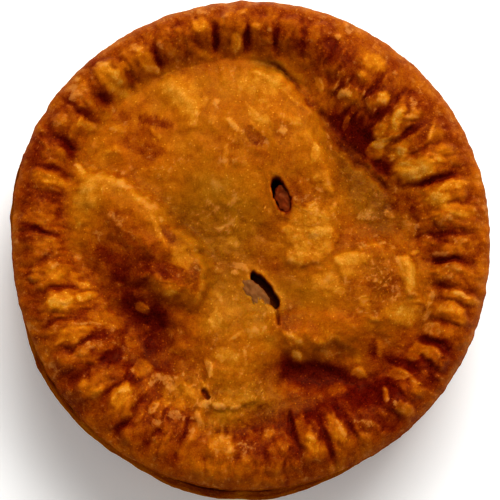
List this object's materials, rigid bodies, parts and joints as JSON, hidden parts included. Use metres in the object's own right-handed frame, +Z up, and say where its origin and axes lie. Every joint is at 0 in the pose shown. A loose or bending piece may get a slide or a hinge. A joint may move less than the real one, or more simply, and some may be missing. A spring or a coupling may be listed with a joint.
{
  "type": "pork pie",
  "caption": "Round raised pork pie with a bowed case of baked hot water crust, a sunken, blistered lid, a crimped rim and two steam vents.",
  "frame": {"origin": "centre of the flat base that the pie stands on", "axes": "+Z up through the lid; +Y towards the back of the pie as it is seen from the front, +X to its right"},
  "size_m": [0.125, 0.1288, 0.0463],
  "materials": {
    "baked_crust": "baked hot water crust, golden to dark brown, slightly greasy",
    "pork_filling": "cooked minced pork, moist"
  },
  "bodies": {
    "root": {"pork_pie": "baked_crust"}
  },
  "joints": []
}
